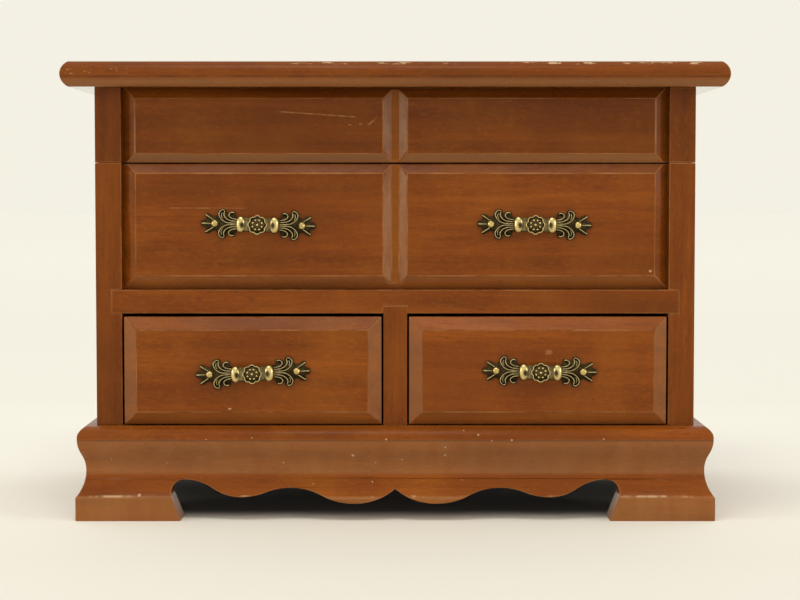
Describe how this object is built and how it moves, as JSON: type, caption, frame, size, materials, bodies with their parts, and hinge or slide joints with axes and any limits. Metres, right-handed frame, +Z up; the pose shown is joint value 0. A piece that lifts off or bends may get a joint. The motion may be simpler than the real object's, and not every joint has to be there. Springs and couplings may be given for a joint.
{
  "type": "jewelry box",
  "caption": "Miniature chest-of-drawers jewelry box with a lift-up lid behind a false drawer front, sliding drawers, scroll-cut moulded base and cast brass pulls.",
  "frame": {"origin": "on the floor under the middle of the box", "axes": "+X to the right along the width, +Y towards the hinges at the back, +Z up"},
  "size_m": [0.305, 0.185, 0.211],
  "materials": {
    "stained_wood": "satin varnish",
    "secondary_wood": "bare",
    "antique_brass": "dark patina",
    "hardware_brass": "polished",
    "velvet": "pile",
    "mirror": "silvered"
  },
  "bodies": {
    "case": {"base_front": "stained_wood", "base_left": "stained_wood", "base_right": "stained_wood", "base_back": "secondary_wood", "bottom_board": "secondary_wood", "corner_blocks": "secondary_wood", "left_side": "stained_wood", "right_side": "stained_wood", "shelf": "stained_wood", "divider": "stained_wood", "case_back": "secondary_wood", "false_front": "stained_wood", "wall_lining": "velvet", "floor_lining": "velvet", "partition_long": "velvet", "partition_front": "velvet", "partition_rear": "velvet", "ring_roll_1": "velvet", "ring_roll_2": "velvet", "ring_roll_3": "velvet", "ring_roll_4": "velvet", "left_panel_pull": "antique_brass", "right_panel_pull": "antique_brass", "panel_pull_nails": "antique_brass", "left_hinge_case_leaf": "hardware_brass", "right_hinge_case_leaf": "hardware_brass", "left_hinge_pin": "hardware_brass", "right_hinge_pin": "hardware_brass", "hinge_case_screws": "hardware_brass", "stay_stud": "hardware_brass"},
    "lid": {"top_board": "stained_wood", "lid_left_side": "stained_wood", "lid_right_side": "stained_wood", "lid_front": "stained_wood", "lid_back": "stained_wood", "lid_lining": "velvet", "mirror": "mirror", "left_hinge_lid_leaf": "hardware_brass", "right_hinge_lid_leaf": "hardware_brass", "hinge_lid_screws": "hardware_brass", "stay_rivet": "hardware_brass"},
    "lid_stay": {"stay_arm": "hardware_brass"},
    "left_drawer": {"left_drawer_front": "stained_wood", "left_drawer_left_side": "secondary_wood", "left_drawer_right_side": "secondary_wood", "left_drawer_back": "secondary_wood", "left_drawer_bottom": "secondary_wood", "left_drawer_lining": "velvet", "left_drawer_pull": "antique_brass", "left_drawer_nails": "antique_brass"},
    "right_drawer": {"right_drawer_front": "stained_wood", "right_drawer_left_side": "secondary_wood", "right_drawer_right_side": "secondary_wood", "right_drawer_back": "secondary_wood", "right_drawer_bottom": "secondary_wood", "right_drawer_lining": "velvet", "right_drawer_pull": "antique_brass", "right_drawer_nails": "antique_brass"}
  },
  "joints": [
    {"name": "lid_hinge", "type": "hinge", "parent": "case", "child": "lid", "pos_m": [0, 0.0904, 0.1648], "axis": [-1, 0, 0], "range_deg": [0, 95]},
    {"name": "stay_pivot", "type": "hinge", "parent": "lid", "child": "lid_stay", "pos_m": [0.124, 0.06033, 0.17574], "axis": [1, 0, 0], "range_deg": [0, 47.5]},
    {"name": "left_drawer_slide", "type": "slide", "parent": "case", "child": "left_drawer", "axis": [0, -1, 0], "range_m": [0, 0.11]},
    {"name": "right_drawer_slide", "type": "slide", "parent": "case", "child": "right_drawer", "axis": [0, -1, 0], "range_m": [0, 0.11]}
  ],
  "couplings": [
    {"joint": "stay_pivot", "follows": "lid_hinge", "ratio": 0.5}
  ]
}
